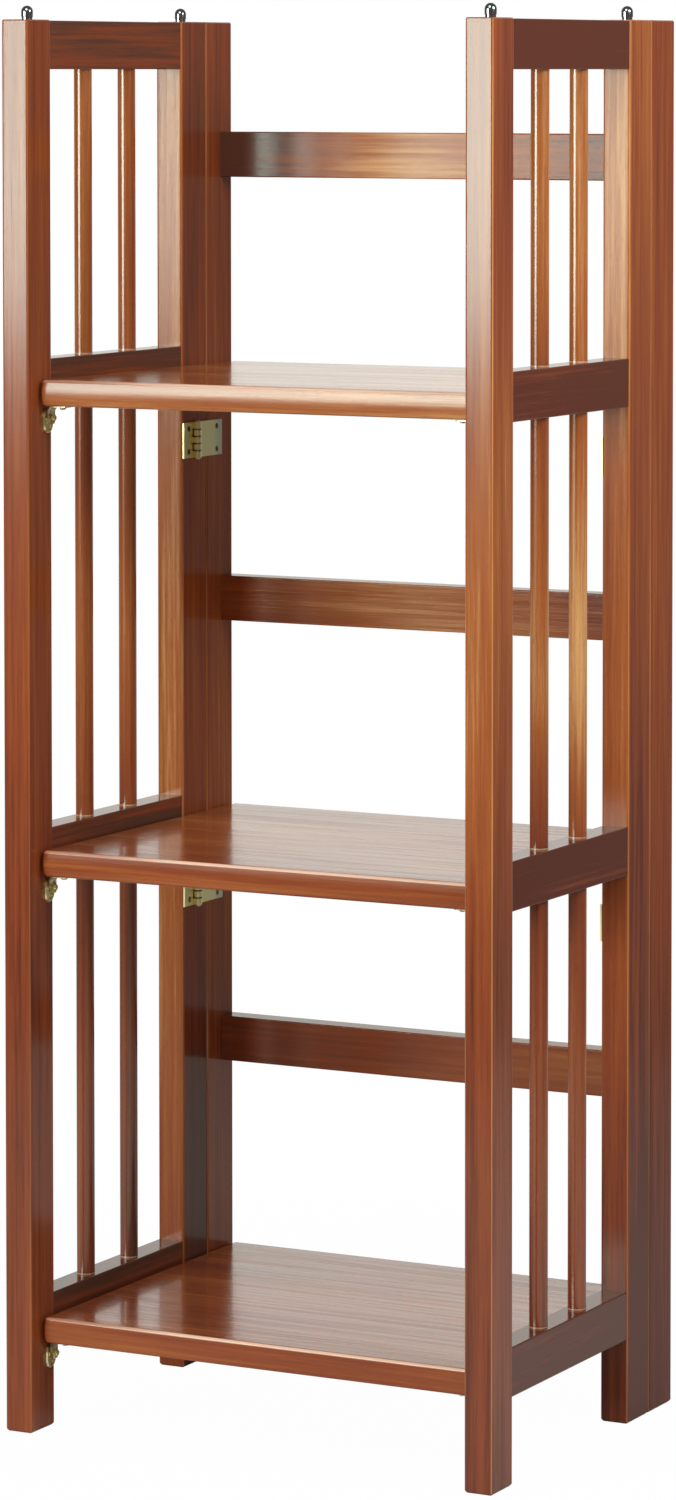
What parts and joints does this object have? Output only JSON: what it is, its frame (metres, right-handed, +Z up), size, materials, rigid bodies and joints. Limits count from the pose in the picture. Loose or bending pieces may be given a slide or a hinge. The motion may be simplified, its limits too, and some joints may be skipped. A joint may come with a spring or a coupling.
{
  "type": "folding bookcase",
  "caption": "Narrow wooden bookcase with open spindle sides and swing-up shelves, whose side frames are hinged to the back frame so that it folds flat.",
  "frame": {"origin": "on the floor under the middle of the bookcase's outline", "axes": "+Z up, front towards -Y, +X to the right seen from the front"},
  "size_m": [0.3712, 0.284, 0.9748],
  "materials": {
    "post_wood": "red-brown stain under satin lacquer, straight grain along the length",
    "rail_wood": "red-brown stain under satin lacquer, a little darker, grain along the length",
    "spindle_wood": "turned dowel, red-brown stain, glossy lacquer",
    "shelf_wood": "red-brown stain under semi-gloss lacquer, grain along the width",
    "brass": "brass plated, lightly dulled",
    "polished_steel": "polished",
    "steel": "plain drawn pin"
  },
  "bodies": {
    "back_frame": {"back_rail_lower": "rail_wood", "back_rail_middle": "rail_wood", "back_rail_top": "rail_wood", "back_stile_left": "post_wood", "back_stile_right": "post_wood", "left_hinge_pins": "brass", "left_stile_leaf_lower": "brass", "left_stile_leaf_upper": "brass", "right_hinge_pins": "brass", "right_stile_leaf_lower": "brass", "right_stile_leaf_upper": "brass", "shelf_pivot_pins": "steel", "stile_leaf_screws": "brass"},
    "left_frame": {"left_front_post": "post_wood", "left_keeper_lower": "brass", "left_keeper_middle": "brass", "left_keeper_top": "brass", "left_post_leaf_lower": "brass", "left_post_leaf_screws": "brass", "left_post_leaf_upper": "brass", "left_rail_lower": "rail_wood", "left_rail_middle": "rail_wood", "left_rail_top": "rail_wood", "left_rail_upper": "rail_wood", "left_rear_post": "post_wood", "left_spindles_lower": "spindle_wood", "left_spindles_middle": "spindle_wood", "left_spindles_top": "spindle_wood", "left_stacking_pin_front": "polished_steel", "left_stacking_pin_rear": "polished_steel", "left_studs": "brass"},
    "right_frame": {"right_front_post": "post_wood", "right_keeper_lower": "brass", "right_keeper_middle": "brass", "right_keeper_top": "brass", "right_post_leaf_lower": "brass", "right_post_leaf_screws": "brass", "right_post_leaf_upper": "brass", "right_rail_lower": "rail_wood", "right_rail_middle": "rail_wood", "right_rail_top": "rail_wood", "right_rail_upper": "rail_wood", "right_rear_post": "post_wood", "right_spindles_lower": "spindle_wood", "right_spindles_middle": "spindle_wood", "right_spindles_top": "spindle_wood", "right_stacking_pin_front": "polished_steel", "right_stacking_pin_rear": "polished_steel", "right_studs": "brass"},
    "lower_shelf": {"shelf_clip_screws_lower": "brass", "shelf_clips_lower": "brass", "shelf_lower": "shelf_wood"},
    "middle_shelf": {"shelf_clip_screws_middle": "brass", "shelf_clips_middle": "brass", "shelf_middle": "shelf_wood"},
    "top_shelf": {"shelf_clip_screws_top": "brass", "shelf_clips_top": "brass", "shelf_top": "shelf_wood"}
  },
  "joints": [
    {"name": "lower_shelf_fold", "type": "hinge", "parent": "back_frame", "child": "lower_shelf", "pos_m": [0, 0.115, 0.0692], "axis": [-1, 0, 0], "range_deg": [0, 90]},
    {"name": "middle_shelf_fold", "type": "hinge", "parent": "back_frame", "child": "middle_shelf", "pos_m": [0, 0.115, 0.3906], "axis": [-1, 0, 0], "range_deg": [0, 90]},
    {"name": "top_shelf_fold", "type": "hinge", "parent": "back_frame", "child": "top_shelf", "pos_m": [0, 0.115, 0.712], "axis": [-1, 0, 0], "range_deg": [0, 90]},
    {"name": "left_frame_fold", "type": "hinge", "parent": "back_frame", "child": "left_frame", "pos_m": [-0.1618, 0.085, 0.5], "axis": [0, 0, 1], "range_deg": [0, 0.25]},
    {"name": "right_frame_fold", "type": "hinge", "parent": "back_frame", "child": "right_frame", "pos_m": [0.1618, 0.085, 0.5], "axis": [0, 0, -1], "range_deg": [0, 0.25]}
  ]
}
